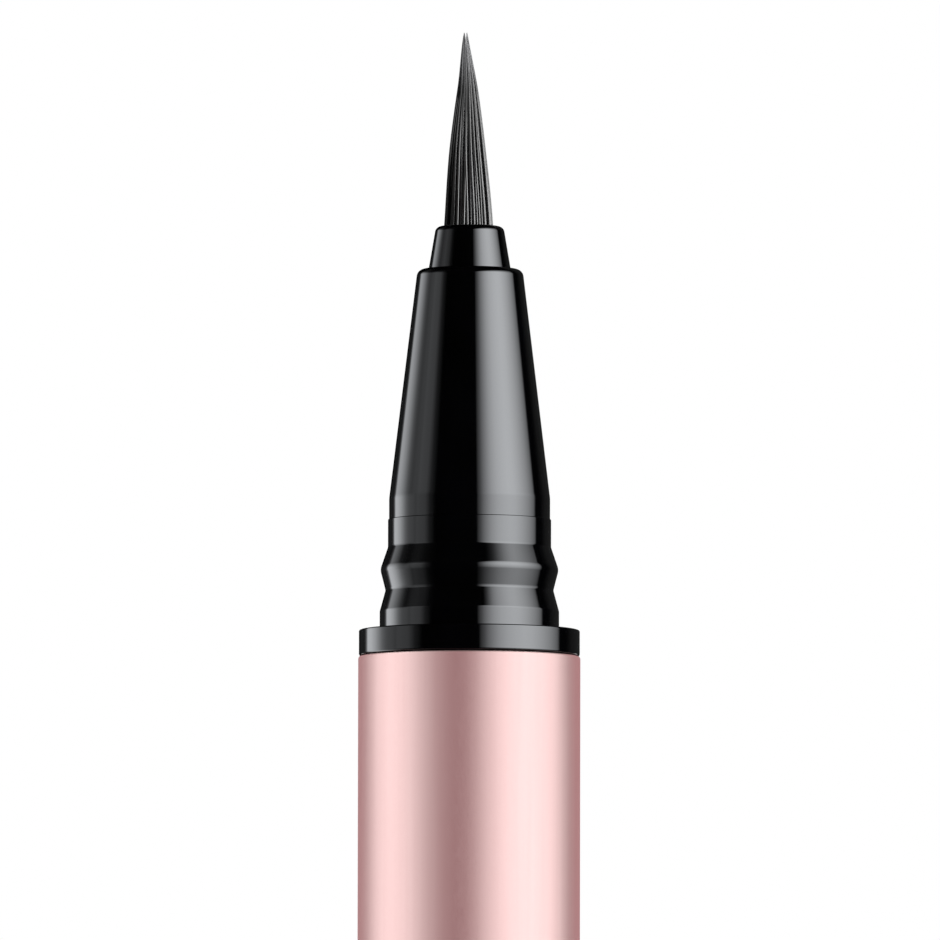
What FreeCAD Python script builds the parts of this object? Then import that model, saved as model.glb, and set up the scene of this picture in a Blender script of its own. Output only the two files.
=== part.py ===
# Brush-tip liquid eyeliner pen with its cap off, standing on its tail with the brush up.
# The origin is the middle of the flat tail face, and +Z runs along the pen to the brush. Sizes are in mm.
import FreeCAD
import Part
import Sketcher

import math
import os

SIZES = {
    # outer barrel, an anodised aluminium tube
    "barrel_od": 10.4,
    "barrel_wall": 0.4,
    "barrel_length": 96.0,
    "barrel_rim_round": 0.2,
    # plug that closes the tail of the barrel
    "tail_flange": 1.8,
    "tail_edge_round": 0.6,
    "tail_stem_length": 7.0,
    "tail_stem_wall": 1.0,
    "tail_rib_count": 6,
    "tail_rib_width": 0.6,
    "tail_rib_height": 0.12,
    # ink tank inside the barrel, the plug in its rear end and the ball in the ink
    "tank_bore": 5.4,
    "tank_wall": 0.9,
    "tank_ring_length": 4.0,
    "tank_front_gap": 0.3,
    "tank_rib_count": 4,
    "tank_rib_width": 0.8,
    "socket_bore": 7.6,
    "socket_floor": 1.2,
    "tank_plug_flange": 1.2,
    "tank_plug_depth": 5.0,
    "tank_plug_wall": 0.8,
    "tank_plug_top": 1.0,
    "tank_plug_bead": 0.12,
    "tank_plug_bead_length": 0.6,
    "ball_diameter": 3.5,
    # comb collector that meters the ink, and the wick through it
    "fin_count": 22,
    "fin_pitch": 0.75,
    "fin_thickness": 0.35,
    "fin_gap": 0.1,
    "collector_core": 3.2,
    "collector_flange": 1.2,
    "nipple_length": 4.0,
    "nipple_bevel": 0.4,
    "ink_slot_width": 0.3,
    "air_slot_width": 0.9,
    "air_slot_floor": 1.9,
    "wick_diameter": 1.9,
    "wick_gap": 0.05,
    "wick_overhang": 2.0,
    "wick_bevel": 0.4,
    # front section: collar, guide land, snap rib, neck and cone
    "collar_inset": 0.03,
    "collar_height": 1.22,
    "collar_top_round": 0.07,
    "collar_foot_round": 0.12,
    "land_diameter": 8.4,
    "land_length": 0.88,
    "land_flank": 0.99,
    "land_round": 0.3,
    "valley_diameter": 7.86,
    "valley_round": 0.3,
    "rib_lower_flank": 0.975,
    "rib_diameter": 8.36,
    "rib_upper_flank": 1.045,
    "rib_round": 0.6,
    "neck_diameter": 7.64,
    "neck_length": 1.31,
    "neck_foot_round": 0.35,
    "neck_edge_round": 0.045,
    "shoulder_diameter": 7.54,
    "shoulder_length": 0.99,
    "shoulder_round": 1.5,
    "cone_length": 10.765,
    "cone_top_diameter": 4.93,
    "cone_top_round": 0.3,
    "section_bore": 5.6,
    "section_bore_taper": 1.5,
    "throat_length": 2.0,
    "skirt_length": 9.0,
    "seal_ring_section": 0.5,
    "seal_groove_width": 0.7,
    "seal_groove_from_rim": 4.5,
    # brush holder, whose nose stands out of the cone
    "nose_length": 2.015,
    "nose_base_diameter": 3.85,
    "nose_top_diameter": 3.17,
    "nose_round": 0.3,
    "holder_neck_length": 3.6,
    "holder_flange_diameter": 4.6,
    "holder_flange_length": 1.5,
    "mouth_lip": 0.9,
    "mouth_gap": 0.1,
    # brush: ferrule, fused root and bristles
    "ferrule_wall": 0.22,
    "ferrule_flange_diameter": 3.7,
    "ferrule_flange": 0.6,
    "root_thickness": 0.8,
    "brush_diameter": 2.29,
    "brush_length": 9.13,
    "brush_tip_diameter": 0.2,
    "brush_belly": 0.12,
    "brush_set": 0.075,
    "brush_lean": 0.18,
    "bristle_rings": 4,
    "bristle_fill": 0.94,
    "bristle_end_step": 0.02,
    # clearances
    "press_gap": 0.03,
    "tank_slip_gap": 0.05,
    "ball_rest_gap": 0.05,
}

# How near an edge lies to the place that names it.
SAME_PLACE = 1e-4

# Where along its free length a bristle bends, and how many flat sides it has.
BRISTLE_STATIONS = (0.0, 0.3, 0.55, 0.75, 0.9)
BRISTLE_SIDES = 6

# How late the brush's lean grows along its free length.
LEAN_GROWTH = 1.5

doc = FreeCAD.newDocument("eyeliner_pen")
sheet = doc.addObject("Spreadsheet::Sheet", "Sizes")
for row, (alias, size) in enumerate(SIZES.items(), start=1):
    sheet.set(f"A{row}", str(size))
    sheet.setAlias(f"A{row}", alias)
doc.recompute()


def number(text):
    """The value of an expression on the sheet's sizes."""
    found = sheet.evalExpression(text)
    return float(getattr(found, "Value", found))


# Levels up the pen that several pieces share, as expressions on the sheet.
barrel_rear = "Sizes.tail_flange"
rim = f"({barrel_rear} + Sizes.barrel_length)"
tail_stem_end = f"({barrel_rear} + Sizes.tail_stem_length)"
tank_rear = f"({tail_stem_end} + Sizes.tank_plug_flange)"
tank_plug_end = f"({tank_rear} + Sizes.tank_plug_depth)"
tank_front = f"({rim} - Sizes.tank_front_gap)"
skirt_end = f"({rim} - Sizes.skirt_length)"
socket_step = f"({skirt_end} - Sizes.collector_flange)"
socket_rear = f"({socket_step} - Sizes.socket_floor)"
nipple_end = f"({socket_step} - Sizes.nipple_length)"
wick_end = f"({nipple_end} - Sizes.wick_overhang)"
fin_space = "(Sizes.fin_pitch - Sizes.fin_thickness)"
comb_front = f"({skirt_end} + Sizes.fin_count * Sizes.fin_pitch + {fin_space})"
seal_level = f"({rim} - Sizes.seal_groove_from_rim)"

collar_top = f"({rim} + Sizes.collar_height)"
land_top = f"({collar_top} + Sizes.land_length)"
valley = f"({land_top} + Sizes.land_flank)"
rib_crest = f"({valley} + Sizes.rib_lower_flank)"
neck_start = f"({rib_crest} + Sizes.rib_upper_flank)"
neck_top = f"({neck_start} + Sizes.neck_length)"
cone_start = f"({neck_top} + Sizes.shoulder_length)"
cone_top = f"({cone_start} + Sizes.cone_length)"
nose_top = f"({cone_top} + Sizes.nose_length)"
holder_step = f"({cone_top} - Sizes.holder_neck_length)"
holder_rear = f"({holder_step} - Sizes.holder_flange_length)"
throat_rear = f"({holder_rear} - Sizes.throat_length)"
bore_end = f"({throat_rear} - Sizes.section_bore_taper)"
lip_rear = f"({nose_top} - Sizes.mouth_lip)"
ferrule_step = f"({holder_rear} + Sizes.ferrule_flange)"

# Radii that several pieces share.
barrel_outside = "(Sizes.barrel_od / 2)"
barrel_bore = f"({barrel_outside} - Sizes.barrel_wall)"
tank_outside = f"({barrel_bore} - Sizes.tank_slip_gap)"
tank_bore = "(Sizes.tank_bore / 2)"
socket_bore = "(Sizes.socket_bore / 2)"
skirt_radius = f"({socket_bore} - Sizes.press_gap)"
section_bore = "(Sizes.section_bore / 2)"
wick_bore = "(Sizes.wick_diameter / 2 + Sizes.wick_gap)"
seal_tube = "(Sizes.seal_ring_section / 2)"
seal_radius = f"({skirt_radius} - {seal_tube})"
nose_base = "(Sizes.nose_base_diameter / 2)"
holder_flange = "(Sizes.holder_flange_diameter / 2)"
brush_radius = "(Sizes.brush_diameter / 2)"
ferrule_inside = f"({brush_radius} + Sizes.press_gap)"
ferrule_outside = f"({ferrule_inside} + Sizes.ferrule_wall)"
ferrule_flange = "(Sizes.ferrule_flange_diameter / 2)"

parts = []


def new_body(label):
    """An empty body that becomes one sub-part."""
    body = doc.addObject("PartDesign::Body", label)
    body.Label = label
    parts.append(body)
    return body


def origin_feature(body, role):
    """One of the body's own origin planes or axes."""
    return next(feature for feature in body.Origin.OriginFeatures if feature.Role == role)


def new_sketch(body, name, plane, level=None):
    """A sketch on one of the body's origin planes, lifted to a level along the plane's normal."""
    sketch = body.newObject("Sketcher::SketchObject", name)
    sketch.AttachmentSupport = (origin_feature(body, plane), [""])
    sketch.MapMode = "FlatFace"
    if level:
        sketch.setExpression("AttachmentOffset.Base.z", level)
    return sketch


def bind_corner(sketch, line, kind, text):
    """Holds one coordinate of a line's start at an expression, or on the sketch's axis where that is 0."""
    if text == "0":
        level_axis, upright_axis = -1, -2
        axis = upright_axis if kind == "DistanceX" else level_axis
        sketch.addConstraint(Sketcher.Constraint("PointOnObject", line, 1, axis))
        return
    index = sketch.addConstraint(Sketcher.Constraint(kind, -1, 1, line, 1, number(text)))
    sketch.setExpression(f"Constraints[{index}]", text)


def draw_outline(sketch, points):
    """A closed outline of straight lines through (across, up) corners, each bound to the sheet."""
    corners = [FreeCAD.Vector(number(across), number(up), 0) for across, up in points]
    for here, corner in enumerate(corners):
        after = (here + 1) % len(corners)
        sketch.addGeometry(Part.LineSegment(corner, corners[after]), False)
    for here, (across, up) in enumerate(points):
        after = (here + 1) % len(corners)
        sketch.addConstraint(Sketcher.Constraint("Coincident", here, 2, after, 1))
        bind_corner(sketch, here, "DistanceX", across)
        bind_corner(sketch, here, "DistanceY", up)


def draw_circle(sketch, radius):
    """A circle about the sketch's origin with its radius bound to the sheet."""
    centre, upwards = FreeCAD.Vector(0, 0, 0), FreeCAD.Vector(0, 0, 1)
    circle = sketch.addGeometry(Part.Circle(centre, upwards, number(radius)), False)
    sketch.addConstraint(Sketcher.Constraint("Coincident", circle, 3, -1, 1))
    index = sketch.addConstraint(Sketcher.Constraint("Radius", circle, number(radius)))
    sketch.setExpression(f"Constraints[{index}]", radius)


def revolve(body, name, points):
    """Turns an outline of (radius, level) corners about the pen's axis."""
    sketch = new_sketch(body, f"{name}_outline", "XZ_Plane")
    draw_outline(sketch, points)
    feature = body.newObject("PartDesign::Revolution", name)
    feature.Profile = sketch
    feature.ReferenceAxis = (sketch, ["V_Axis"])
    feature.Angle = 360
    doc.recompute()


def round_rings(body, name, radius, rings):
    """Rounds the circular edges at the given (radius, level) places of the body's last feature."""
    base = body.Tip
    wanted = [(number(across), number(level)) for across, level in rings]
    names = []
    for index, edge in enumerate(base.Shape.Edges, start=1):
        if not isinstance(edge.Curve, Part.Circle):
            continue
        place = (edge.Curve.Radius, edge.Curve.Center.z)
        if any(math.dist(place, ring) < SAME_PLACE for ring in wanted):
            names.append(f"Edge{index}")
    if len(names) != len(wanted):
        raise RuntimeError(f"{name}: found {len(names)} of {len(wanted)} edges to round")
    feature = body.newObject("PartDesign::Fillet", name)
    feature.Base = (base, names)
    feature.setExpression("Radius", radius)
    doc.recompute()


def box_outline(inner, outer, width):
    """Corners of a rib or slot that runs out along X from one distance to another."""
    return [
        (inner, f"-{width} / 2"),
        (outer, f"-{width} / 2"),
        (outer, f"{width} / 2"),
        (inner, f"{width} / 2"),
    ]


def add_lengthwise_ribs(body, name, inner, outer, width, low, high, count):
    """Ribs along the pen, evenly spaced round it, whose corners lie on the outer radius."""
    flat_top = f"sqrt({outer} ^ 2 - ({width} / 2) ^ 2)"
    sketch = new_sketch(body, f"{name}_outline", "XY_Plane", low)
    draw_outline(sketch, box_outline(inner, flat_top, width))
    first = body.newObject("PartDesign::Pad", f"{name}_first")
    first.Profile = sketch
    first.setExpression("Length", f"{high} - {low}")
    doc.recompute()
    ring = body.newObject("PartDesign::PolarPattern", name)
    ring.Originals = [first]
    ring.Axis = (origin_feature(body, "Z_Axis"), [""])
    ring.Angle = 360
    ring.setExpression("Occurrences", count)
    body.Tip = ring
    doc.recompute()


def make_barrel():
    """The rose-coloured aluminium tube."""
    body = new_body("barrel_sleeve")
    outline = [
        (barrel_bore, barrel_rear),
        (barrel_outside, barrel_rear),
        (barrel_outside, rim),
        (barrel_bore, rim),
    ]
    revolve(body, "tube", outline)
    rims = [(barrel_outside, rim), (barrel_outside, barrel_rear)]
    round_rings(body, "rims", "Sizes.barrel_rim_round", rims)


def make_tail_plug():
    """A flat end disc on a hollow stem that is pressed into the barrel on crush ribs."""
    rib_top = f"({barrel_bore} - Sizes.press_gap)"
    stem = f"({rib_top} - Sizes.tail_rib_height)"
    hollow = f"({stem} - Sizes.tail_stem_wall)"
    mid_wall = f"({stem} - Sizes.tail_stem_wall / 2)"
    body = new_body("tail_plug")
    outline = [
        ("0", "0"),
        (barrel_outside, "0"),
        (barrel_outside, barrel_rear),
        (stem, barrel_rear),
        (stem, tail_stem_end),
        (hollow, tail_stem_end),
        (hollow, barrel_rear),
        ("0", barrel_rear),
    ]
    revolve(body, "plug", outline)
    round_rings(body, "tail_edge", "Sizes.tail_edge_round", [(barrel_outside, "0")])
    width, count = "Sizes.tail_rib_width", "Sizes.tail_rib_count"
    add_lengthwise_ribs(body, "crush_ribs", mid_wall, rib_top, width, barrel_rear, tail_stem_end, count)


def make_tank():
    """The ink tank: an ink bore behind, a wide socket in front, and ribs that centre it in the barrel."""
    wall_outside = f"({tank_bore} + Sizes.tank_wall)"
    mid_wall = f"({tank_bore} + Sizes.tank_wall / 2)"
    ring_end = f"({tank_rear} + Sizes.tank_ring_length)"
    body = new_body("ink_tank")
    outline = [
        (tank_bore, tank_rear),
        (tank_outside, tank_rear),
        (tank_outside, ring_end),
        (wall_outside, ring_end),
        (wall_outside, socket_rear),
        (tank_outside, socket_rear),
        (tank_outside, tank_front),
        (socket_bore, tank_front),
        (socket_bore, socket_step),
        (tank_bore, socket_step),
    ]
    revolve(body, "tank", outline)
    width, count = "Sizes.tank_rib_width", "Sizes.tank_rib_count"
    add_lengthwise_ribs(body, "centring_ribs", mid_wall, tank_outside, width, ring_end, socket_rear, count)


def make_tank_plug():
    """A hollow plug with two sealing beads that closes the rear of the ink bore."""
    bead = f"({tank_bore} - Sizes.press_gap)"
    stem = f"({bead} - Sizes.tank_plug_bead)"
    hollow = f"({stem} - Sizes.tank_plug_wall)"
    hollow_end = f"({tank_plug_end} - Sizes.tank_plug_top)"
    bead_length = "Sizes.tank_plug_bead_length"
    outline = [
        (hollow, tail_stem_end),
        (tank_outside, tail_stem_end),
        (tank_outside, tank_rear),
        (stem, tank_rear),
    ]
    for start in (f"{tank_rear} + {bead_length}", f"{tank_plug_end} - 2 * {bead_length}"):
        outline += [
            (stem, start),
            (bead, f"{start} + {bead_length} / 2"),
            (stem, f"{start} + {bead_length}"),
        ]
    outline += [
        (stem, tank_plug_end),
        ("0", tank_plug_end),
        ("0", hollow_end),
        (hollow, hollow_end),
    ]
    revolve(new_body("tank_plug"), "plug", outline)


def make_ball():
    """The steel ball that stirs the ink. It lies on the tank plug."""
    ball = doc.addObject("Part::Sphere", "mixing_ball")
    ball.Label = "mixing_ball"
    ball.setExpression("Radius", "Sizes.ball_diameter / 2")
    rest = f"{tank_plug_end} + Sizes.ball_rest_gap + Sizes.ball_diameter / 2"
    ball.setExpression("Placement.Base.z", rest)
    parts.append(ball)


def make_collector():
    """The comb collector: a tube with a stack of thin fins, split by an ink slot and an air slot."""
    core = "(Sizes.collector_core / 2)"
    mid_core = f"(({core} + {wick_bore}) / 2)"
    fin_edge = f"({section_bore} - Sizes.fin_gap)"
    nipple = f"({tank_bore} - Sizes.press_gap)"
    body = new_body("collector")
    outline = [
        (wick_bore, nipple_end),
        (f"{nipple} - Sizes.nipple_bevel", nipple_end),
        (nipple, f"{nipple_end} + Sizes.nipple_bevel"),
        (nipple, socket_step),
        (skirt_radius, socket_step),
        (skirt_radius, skirt_end),
        (core, skirt_end),
        (core, holder_rear),
        (wick_bore, holder_rear),
    ]
    revolve(body, "core", outline)
    sketch = new_sketch(body, "fin_outline", "XY_Plane", f"{skirt_end} + {fin_space}")
    draw_circle(sketch, fin_edge)
    draw_circle(sketch, mid_core)
    fin = body.newObject("PartDesign::Pad", "first_fin")
    fin.Profile = sketch
    fin.setExpression("Length", "Sizes.fin_thickness")
    doc.recompute()
    comb = body.newObject("PartDesign::LinearPattern", "comb")
    comb.Originals = [fin]
    comb.Direction = (origin_feature(body, "Z_Axis"), [""])
    comb.setExpression("Length", "(Sizes.fin_count - 1) * Sizes.fin_pitch")
    comb.setExpression("Occurrences", "Sizes.fin_count")
    body.Tip = comb
    doc.recompute()
    ink_slot = box_outline(f"{wick_bore} / 2", section_bore, "Sizes.ink_slot_width")
    air_slot = box_outline("-Sizes.air_slot_floor", f"-{section_bore}", "Sizes.air_slot_width")
    cut_along_comb(body, "ink_slot", ink_slot)
    cut_along_comb(body, "air_slot", air_slot)


def cut_along_comb(body, name, outline):
    """A slot of the given cross-section along the whole comb."""
    before = body.Shape.Volume
    sketch = new_sketch(body, f"{name}_outline", "XY_Plane", skirt_end)
    draw_outline(sketch, outline)
    slot = body.newObject("PartDesign::Pocket", name)
    slot.Profile = sketch
    slot.Reversed = True
    slot.setExpression("Length", f"{comb_front} - {skirt_end}")
    doc.recompute()
    if body.Shape.Volume >= before:
        raise RuntimeError(f"{name} cut nothing")


def make_wick():
    """The fibre wick that carries ink from the tank to the brush."""
    wick = "(Sizes.wick_diameter / 2)"
    outline = [
        ("0", wick_end),
        (f"{wick} - Sizes.wick_bevel", wick_end),
        (wick, f"{wick_end} + Sizes.wick_bevel"),
        (wick, holder_rear),
        ("0", holder_rear),
    ]
    revolve(new_body("feed_wick"), "rod", outline)


def make_seal_ring():
    """The rubber ring between the section's skirt and the tank's socket."""
    ring = doc.addObject("Part::Torus", "seal_ring")
    ring.Label = "seal_ring"
    ring.setExpression("Radius1", seal_radius)
    ring.setExpression("Radius2", seal_tube)
    ring.setExpression("Placement.Base.z", seal_level)
    parts.append(ring)


def make_section():
    """The black front section: skirt in the tank, collar on the barrel, snap rib for the cap, and cone."""
    collar = f"({barrel_outside} - Sizes.collar_inset)"
    land = "(Sizes.land_diameter / 2)"
    valley_radius = "(Sizes.valley_diameter / 2)"
    rib = "(Sizes.rib_diameter / 2)"
    neck = "(Sizes.neck_diameter / 2)"
    shoulder = "(Sizes.shoulder_diameter / 2)"
    cone_end = "(Sizes.cone_top_diameter / 2)"
    nose_bore = f"({nose_base} + Sizes.press_gap)"
    throat = f"({holder_flange} + Sizes.press_gap)"
    groove_floor = f"({seal_radius} - {seal_tube} - Sizes.press_gap)"
    groove_low = f"({seal_level} - Sizes.seal_groove_width / 2)"
    groove_high = f"({seal_level} + Sizes.seal_groove_width / 2)"
    body = new_body("front_section")
    outline = [
        (section_bore, skirt_end),
        (skirt_radius, skirt_end),
        (skirt_radius, groove_low),
        (groove_floor, groove_low),
        (groove_floor, groove_high),
        (skirt_radius, groove_high),
        (skirt_radius, rim),
        (collar, rim),
        (collar, collar_top),
        (land, collar_top),
        (land, land_top),
        (valley_radius, valley),
        (rib, rib_crest),
        (neck, neck_start),
        (neck, neck_top),
        (shoulder, neck_top),
        (shoulder, cone_start),
        (cone_end, cone_top),
        (nose_bore, cone_top),
        (nose_bore, holder_step),
        (throat, holder_step),
        (throat, throat_rear),
        (section_bore, bore_end),
    ]
    revolve(body, "section", outline)
    round_rings(body, "collar_foot", "Sizes.collar_foot_round", [(collar, rim)])
    round_rings(body, "collar_edge", "Sizes.collar_top_round", [(collar, collar_top)])
    round_rings(body, "land_edge", "Sizes.land_round", [(land, land_top)])
    round_rings(body, "valley_floor", "Sizes.valley_round", [(valley_radius, valley)])
    round_rings(body, "snap_crest", "Sizes.rib_round", [(rib, rib_crest)])
    round_rings(body, "neck_foot", "Sizes.neck_foot_round", [(neck, neck_start)])
    round_rings(body, "neck_edge", "Sizes.neck_edge_round", [(neck, neck_top)])
    round_rings(body, "cone_foot", "Sizes.shoulder_round", [(shoulder, cone_start)])
    round_rings(body, "cone_rim", "Sizes.cone_top_round", [(cone_end, cone_top)])


def make_holder():
    """The brush holder: a flange caught behind the cone's front bore, and the nose that stands out."""
    nose_end = "(Sizes.nose_top_diameter / 2)"
    nose_mouth = f"({brush_radius} + Sizes.mouth_gap)"
    ferrule_bore = f"({ferrule_outside} + Sizes.press_gap)"
    flange_bore = f"({ferrule_flange} + Sizes.press_gap)"
    body = new_body("brush_holder")
    outline = [
        (flange_bore, holder_rear),
        (holder_flange, holder_rear),
        (holder_flange, holder_step),
        (nose_base, holder_step),
        (nose_base, cone_top),
        (nose_end, nose_top),
        (nose_mouth, nose_top),
        (nose_mouth, lip_rear),
        (ferrule_bore, lip_rear),
        (ferrule_bore, ferrule_step),
        (flange_bore, ferrule_step),
    ]
    revolve(body, "holder", outline)
    round_rings(body, "nose_rim", "Sizes.nose_round", [(nose_end, nose_top)])


def make_ferrule():
    """The thin sleeve crimped round the root of the brush, with a flange that seats in the holder."""
    sleeve_end = f"({lip_rear} - Sizes.press_gap)"
    outline = [
        (ferrule_inside, holder_rear),
        (ferrule_flange, holder_rear),
        (ferrule_flange, ferrule_step),
        (ferrule_outside, ferrule_step),
        (ferrule_outside, sleeve_end),
        (ferrule_inside, sleeve_end),
    ]
    revolve(new_body("brush_ferrule"), "sleeve", outline)


def brush_outline(along):
    """The brush's radius at a share of its free length, a straight taper with a slight belly."""
    taper = number(brush_radius) * (1 - along) + number("Sizes.brush_tip_diameter / 2") * along
    return taper + 4 * number("Sizes.brush_belly") * along * (1 - along)


def brush_middle(along):
    """How far to -X the brush's middle lies at a share of its free length."""
    return number("Sizes.brush_set") + number("Sizes.brush_lean") * along**LEAN_GROWTH


def bristle_corners(level, centre_x, centre_y, radius):
    """Corners of one flat cross-section of a bristle."""
    corners = []
    for side in range(BRISTLE_SIDES):
        turn = 2 * math.pi * side / BRISTLE_SIDES
        x = centre_x + radius * math.cos(turn)
        y = centre_y + radius * math.sin(turn)
        corners.append(FreeCAD.Vector(x, y, level))
    return corners


def closed_wire(corners):
    """The corners joined up in order and back to the first."""
    return Part.makePolygon(corners + corners[:1])


def bristle_sections(distance, turn, radius, end):
    """Sections of a bristle from the root's top, straight through the ferrule, then drawn to the tip."""
    out_x = distance * math.cos(turn)
    out_y = distance * math.sin(turn)
    root_top = number(f"{holder_rear} + Sizes.root_thickness")
    straight = (root_top, number(lip_rear))
    sections = [bristle_corners(level, out_x, out_y, radius) for level in straight]
    for along in BRISTLE_STATIONS + (end,):
        share = brush_outline(along) / number(brush_radius)
        middle_x = out_x * share - brush_middle(along)
        level = number(nose_top) + along * number("Sizes.brush_length")
        sections.append(bristle_corners(level, middle_x, out_y * share, radius * share))
    return sections


def bristle_faces(sections):
    """The flat sides between a bristle's sections, and its end."""
    faces = [Part.Face(closed_wire(sections[-1]))]
    for lower, upper in zip(sections, sections[1:]):
        for here in range(BRISTLE_SIDES):
            after = (here + 1) % BRISTLE_SIDES
            faces.append(Part.Face(closed_wire([lower[here], lower[after], upper[after], upper[here]])))
    return faces


def make_brush():
    """The brush: rings of bristles welded into one root disc, with the tip leaning a little to -X."""
    ring_count = int(number("Sizes.bristle_rings"))
    fill = number("Sizes.bristle_fill")
    spacing = number(brush_radius) / (ring_count + fill / 2)
    base = FreeCAD.Vector(0, 0, number(holder_rear))
    disc = Part.makeCylinder(number(brush_radius), number("Sizes.root_thickness"), base)
    top = max(disc.Faces, key=lambda face: face.CenterOfMass.z)
    faces = [face for face in disc.Faces if not face.isSame(top)]
    top_wires = [top.OuterWire]
    for ring in range(ring_count + 1):
        in_ring = max(1, 6 * ring)
        end = 1 - number("Sizes.bristle_end_step") * ring
        for place in range(in_ring):
            turn = 2 * math.pi * place / in_ring
            sections = bristle_sections(ring * spacing, turn, spacing * fill / 2, end)
            top_wires.append(closed_wire(sections[0]))
            faces += bristle_faces(sections)
    faces.append(Part.makeFace(top_wires, "Part::FaceMakerBullseye"))
    shell = Part.makeShell(faces)
    shell.sewShape()
    brush = doc.addObject("Part::Feature", "brush_bristles")
    brush.Label = "brush_bristles"
    brush.Shape = Part.makeSolid(shell)
    parts.append(brush)


make_barrel()
make_tail_plug()
make_tank()
make_tank_plug()
make_ball()
make_collector()
make_wick()
make_seal_ring()
make_section()
make_holder()
make_ferrule()
make_brush()
doc.recompute()

for item in doc.Objects:
    if {"Invalid", "Error"} & set(item.State):
        raise RuntimeError(f"{item.Label} did not recompute: {item.State}")
for part in parts:
    if part.Shape.isNull() or not part.Shape.isValid():
        raise RuntimeError(f"{part.Label} has no valid shape")
    if len(part.Shape.Solids) != 1:
        raise RuntimeError(f"{part.Label} has {len(part.Shape.Solids)} solids")

os.makedirs("parts", exist_ok=True)
for part in parts:
    part.Shape.exportStep(f"parts/{part.Label}.step")
    box = part.Shape.BoundBox
    print(f"{part.Label}: z {box.ZMin:.2f} to {box.ZMax:.2f} mm, {part.Shape.Volume:.2f} mm3")
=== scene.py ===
import math
import random

import bpy
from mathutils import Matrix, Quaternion, Vector


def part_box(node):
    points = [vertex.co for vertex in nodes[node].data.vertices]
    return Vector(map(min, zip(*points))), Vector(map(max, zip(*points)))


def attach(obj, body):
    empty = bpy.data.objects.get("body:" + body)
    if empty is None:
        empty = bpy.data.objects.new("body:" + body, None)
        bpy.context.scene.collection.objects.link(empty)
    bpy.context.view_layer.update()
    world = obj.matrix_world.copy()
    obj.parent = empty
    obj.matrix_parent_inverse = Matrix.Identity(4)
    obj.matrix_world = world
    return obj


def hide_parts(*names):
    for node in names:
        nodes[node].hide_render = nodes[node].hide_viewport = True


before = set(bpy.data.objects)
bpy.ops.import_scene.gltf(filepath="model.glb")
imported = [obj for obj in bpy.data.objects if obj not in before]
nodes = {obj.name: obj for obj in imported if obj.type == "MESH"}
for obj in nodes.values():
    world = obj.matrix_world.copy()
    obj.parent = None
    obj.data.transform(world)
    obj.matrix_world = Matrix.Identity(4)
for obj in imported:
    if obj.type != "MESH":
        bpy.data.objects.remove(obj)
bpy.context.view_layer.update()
scene = bpy.context.scene
scene.view_settings.view_transform = "Standard"
mm = 0.001
print("frame loaded,", len(nodes), "pieces")


def linear(hexColour):
    channels = [int(hexColour[i:i + 2], 16) / 255 for i in (1, 3, 5)]
    return (*[c / 12.92 if c <= 0.04045 else ((c + 0.055) / 1.055) ** 2.4 for c in channels], 1.0)


def addNode(tree, kind, inputs=None, stops=None, **settings):
    node = tree.nodes.new("ShaderNode" + kind)
    for name, value in settings.items():
        setattr(node, name, value)
    for socket, value in (inputs or {}).items():
        if isinstance(value, bpy.types.NodeSocket):
            tree.links.new(value, node.inputs[socket])
        else:
            node.inputs[socket].default_value = value
    for number, (place, value) in enumerate(stops or []):  # a ramp starts with two stops
        ramp = node.color_ramp.elements
        stop = ramp[number] if number < 2 else ramp.new(place)
        stop.position = place
        stop.color = value if isinstance(value, tuple) else (value, value, value, 1.0)
    return node


def startMaterial(name):
    material = bpy.data.materials.new(name)
    material.use_nodes = True
    tree = material.node_tree
    tree.nodes.clear()
    shader = addNode(tree, "BsdfPrincipled")
    addNode(tree, "OutputMaterial", {"Surface": shader.outputs[0]})
    place = addNode(tree, "TexCoord").outputs["Object"]  # the pen's own metres
    return material, tree, shader, place


noiseSpan = (0.3, 0.7)      # nearly all of a noise's values lie in here
toneSpan = (0.35, 0.65)     # and this part of them carries a colour from its first tone to its second


# camera, just below the collar's height and far back, so that the pen shows almost without perspective
cameraSetup = {
    "distance": 1.0,
    "tilt": -4.1,             # degrees, below the horizon and looking up
    "roll": 0.12,             # degrees, the pen leans a touch to the right
    "aim": (0.014 * mm, 0.0, 106.547 * mm),
    "frame": 940 * 0.046847 * mm,  # 940 pixels, at 222 pixels for the 10.4 mm barrel
    "sensor": 36.0,
    "clipEnd": 20.0,
}
cameraData = bpy.data.cameras.new("photoCamera")
camera = bpy.data.objects.new("photoCamera", cameraData)
scene.collection.objects.link(camera)
tilt = math.radians(cameraSetup["tilt"])
towards = Vector((0.0, -math.cos(tilt), math.sin(tilt)))
camera.location = Vector(cameraSetup["aim"]) + towards * cameraSetup["distance"]
facing = (-towards).to_track_quat("-Z", "Y")
roll = Quaternion((0.0, 0.0, 1.0), math.radians(cameraSetup["roll"]))
camera.rotation_euler = (facing @ roll).to_euler()
cameraData.sensor_width = cameraSetup["sensor"]
cameraData.lens = cameraSetup["sensor"] * cameraSetup["distance"] / cameraSetup["frame"]
cameraData.clip_end = cameraSetup["clipEnd"]
scene.camera = camera
print("camera placed")


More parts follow.
